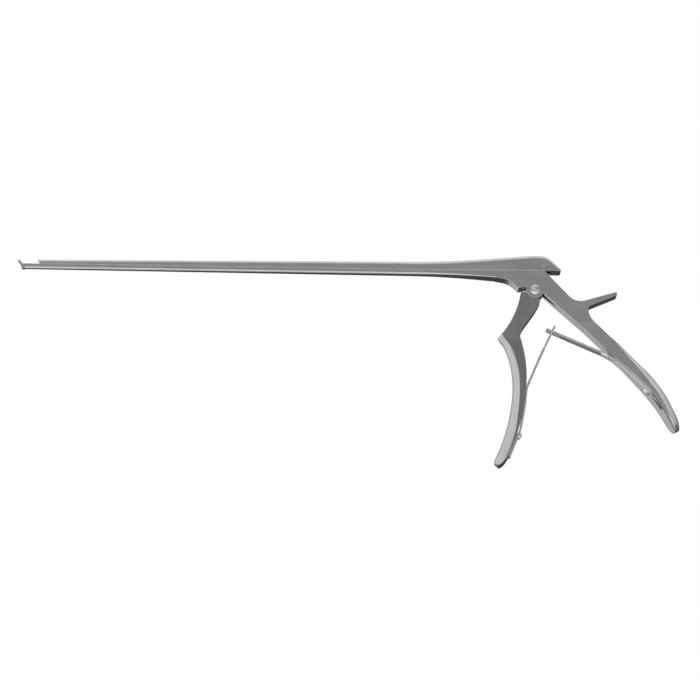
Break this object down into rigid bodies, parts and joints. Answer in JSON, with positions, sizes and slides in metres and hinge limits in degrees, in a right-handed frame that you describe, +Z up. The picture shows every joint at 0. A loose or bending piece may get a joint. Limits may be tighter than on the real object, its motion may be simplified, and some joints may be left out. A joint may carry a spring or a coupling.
{
  "type": "bone rongeur",
  "caption": "Long-shaft, up-biting bone punch: squeezing the sprung trigger slides the upper shaft's cutting nose onto the footplate.",
  "frame": {"origin": "middle of the underside of the box round the instrument, lying on its side, jaws open", "axes": "+X from the jaw towards the palm handle, along the shaft; +Y from the handles towards the shaft's top; +Z up, across the instrument's thickness, on the side of the pivot screw's head"},
  "size_m": [0.3726, 0.122, 0.0186],
  "materials": {
    "satin_steel": "satin",
    "polished_steel": "polished",
    "spring_steel": "satin"
  },
  "bodies": {
    "frame": {"frame": "satin_steel", "pivot_screw": "polished_steel", "rear_spring_screw": "polished_steel"},
    "slide": {"slide": "satin_steel", "drive_screw": "polished_steel"},
    "trigger": {"trigger": "satin_steel", "front_spring_screw": "polished_steel"},
    "front_spring": {"front_leaf_spring": "spring_steel"},
    "rear_spring": {"rear_leaf_spring": "spring_steel"}
  },
  "joints": [
    {"name": "trigger_swing", "type": "hinge", "parent": "frame", "child": "trigger", "pos_m": [0.10637, 0.04064, 0.00932], "axis": [0, 0, 1], "range_deg": [0, 35], "stiffness_Nm_per_rad": 0.6, "springref_deg": -20.05},
    {"name": "slide_travel", "type": "slide", "parent": "frame", "child": "slide", "axis": [-1, 0, 0], "range_m": [0, 0.0098]},
    {"name": "front_spring_flex", "type": "hinge", "parent": "trigger", "child": "front_spring", "pos_m": [0.10236, -0.01436, 0.00932], "axis": [0, 0, 1], "range_deg": [0, 14], "deforming": ["front_leaf_spring"]},
    {"name": "rear_spring_flex", "type": "hinge", "parent": "frame", "child": "rear_spring", "pos_m": [0.14636, 0.00464, 0.00932], "axis": [0, 0, 1], "range_deg": [-14, 0], "deforming": ["rear_leaf_spring"]}
  ],
  "couplings": [
    {"joint": "slide_travel", "follows": "trigger_swing", "m_per_rad": 0.01604},
    {"joint": "front_spring_flex", "follows": "trigger_swing", "ratio": 0.389},
    {"joint": "rear_spring_flex", "follows": "trigger_swing", "ratio": -0.389}
  ]
}
